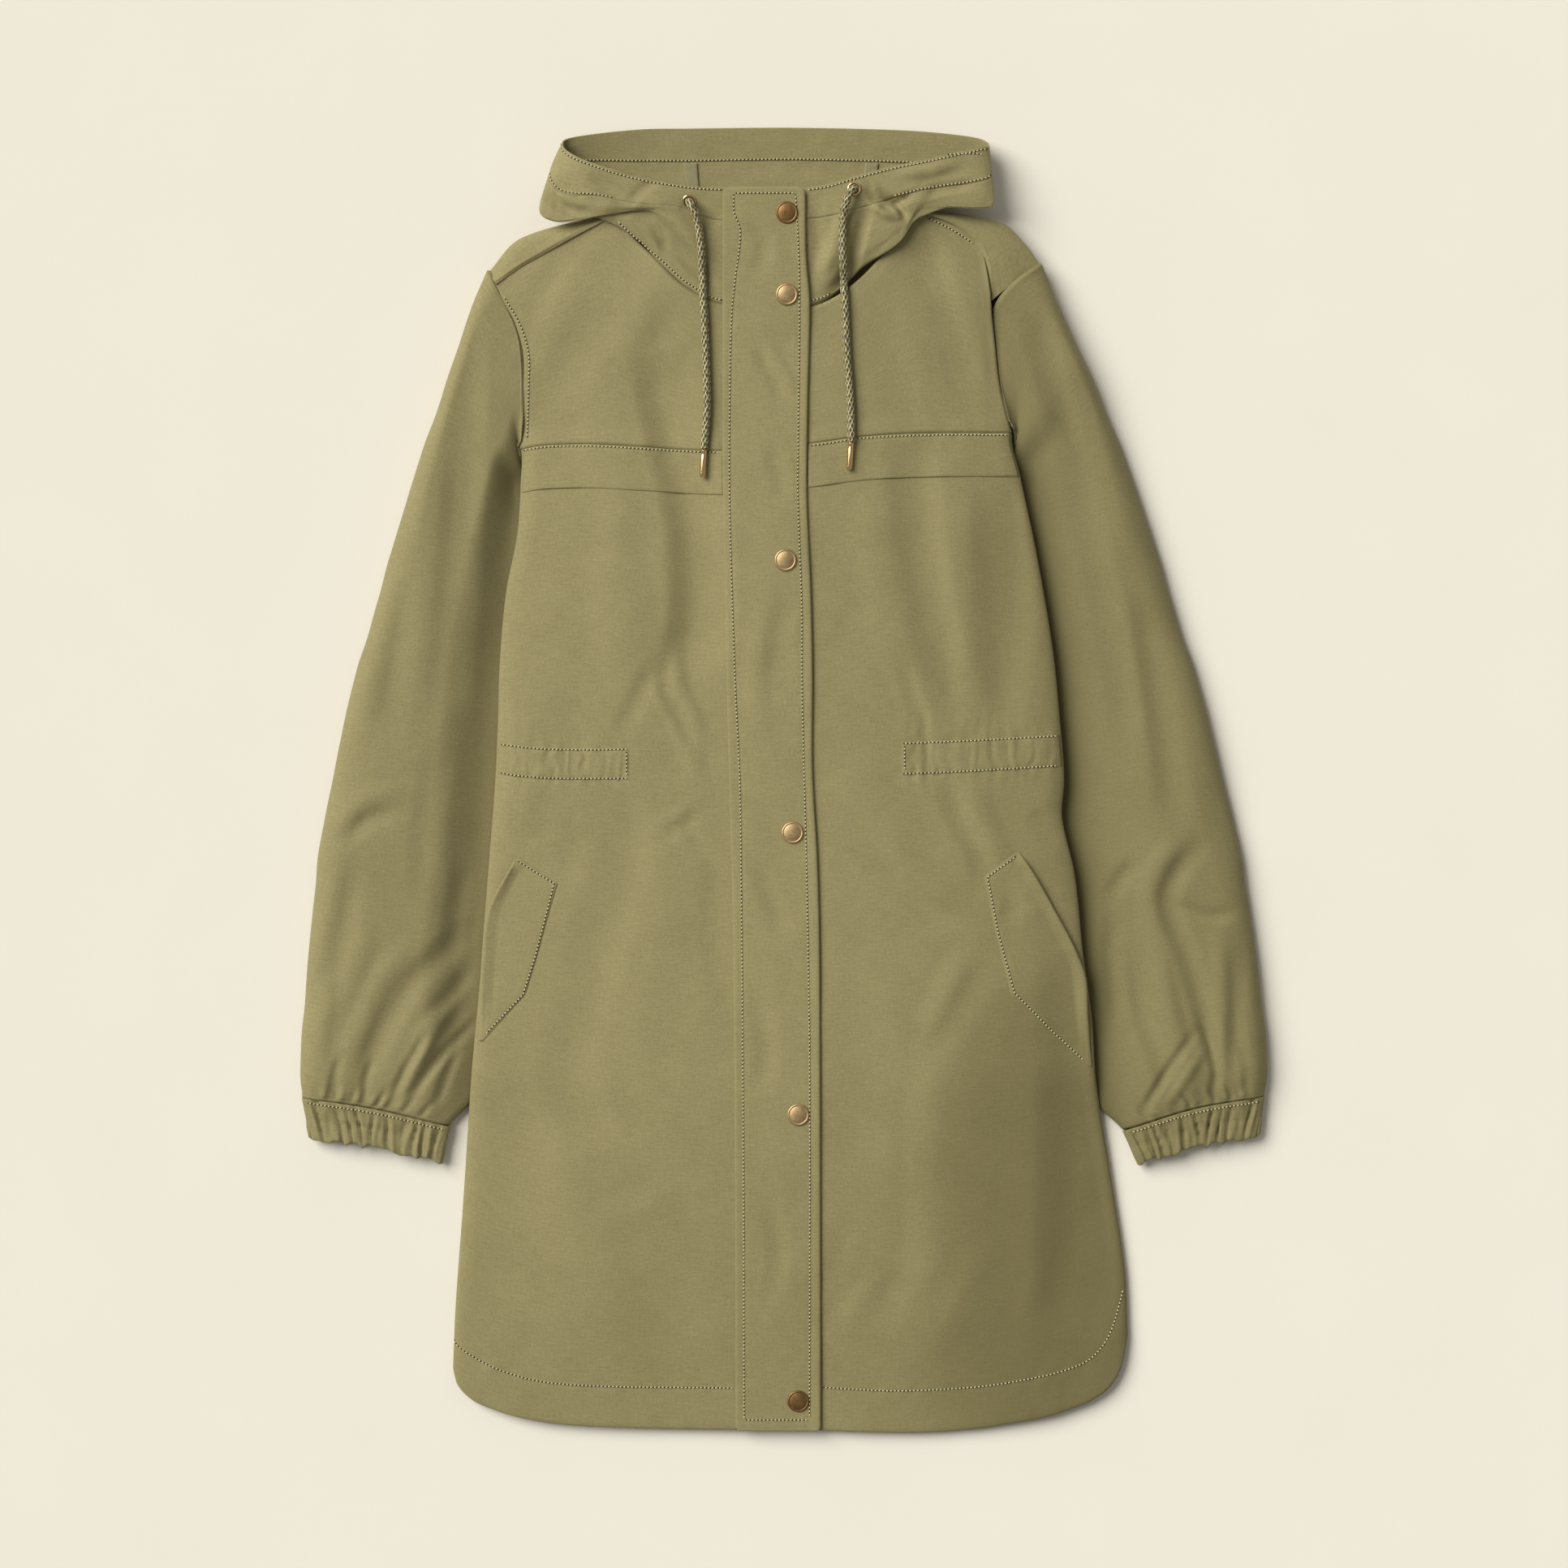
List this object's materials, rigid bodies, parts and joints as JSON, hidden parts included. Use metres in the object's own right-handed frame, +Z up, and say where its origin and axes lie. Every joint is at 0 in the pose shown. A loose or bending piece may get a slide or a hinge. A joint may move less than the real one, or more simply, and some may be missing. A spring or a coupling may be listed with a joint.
{
  "type": "hooded parka",
  "caption": "Hip-length cloth parka laid flat on its back, with a hood on drawcords, a snap placket, storm flaps, side pockets, gathered waist casings and elastic cuffs.",
  "frame": {"origin": "on the surface the coat lies on, below the middle of its length and width", "axes": "+Y towards the hood, +X to the coat's right as seen from above, +Z up through the front"},
  "size_m": [0.6824, 0.9217, 0.0458],
  "materials": {
    "cloth": "olive plain-woven cotton blend with a soft sheen",
    "cord": "braided sage cord with pale and gold flecks",
    "antique_brass": "brushed antique brass",
    "bright_brass": "polished pale brass"
  },
  "bodies": {
    "root": {"back_panel": "cloth", "front_left": "cloth", "front_right": "cloth", "yoke_left": "cloth", "yoke_right": "cloth", "storm_flap_left": "cloth", "storm_flap_right": "cloth", "placket": "cloth", "waist_casing_left": "cloth", "waist_casing_right": "cloth", "pocket_left": "cloth", "pocket_right": "cloth", "sleeve_left": "cloth", "sleeve_right": "cloth", "cuff_left": "cloth", "cuff_right": "cloth", "hood_band": "cloth", "hood_side_left": "cloth", "hood_centre": "cloth", "hood_side_right": "cloth", "hood_tape_left": "cloth", "hood_tape_right": "cloth", "snap_1": "antique_brass", "snap_2": "antique_brass", "snap_3": "antique_brass", "snap_4": "antique_brass", "snap_5": "antique_brass", "snap_6": "antique_brass", "eyelet_left": "bright_brass", "drawcord_left": "cord", "aglet_left": "bright_brass", "eyelet_right": "bright_brass", "drawcord_right": "cord", "aglet_right": "bright_brass"}
  },
  "joints": []
}
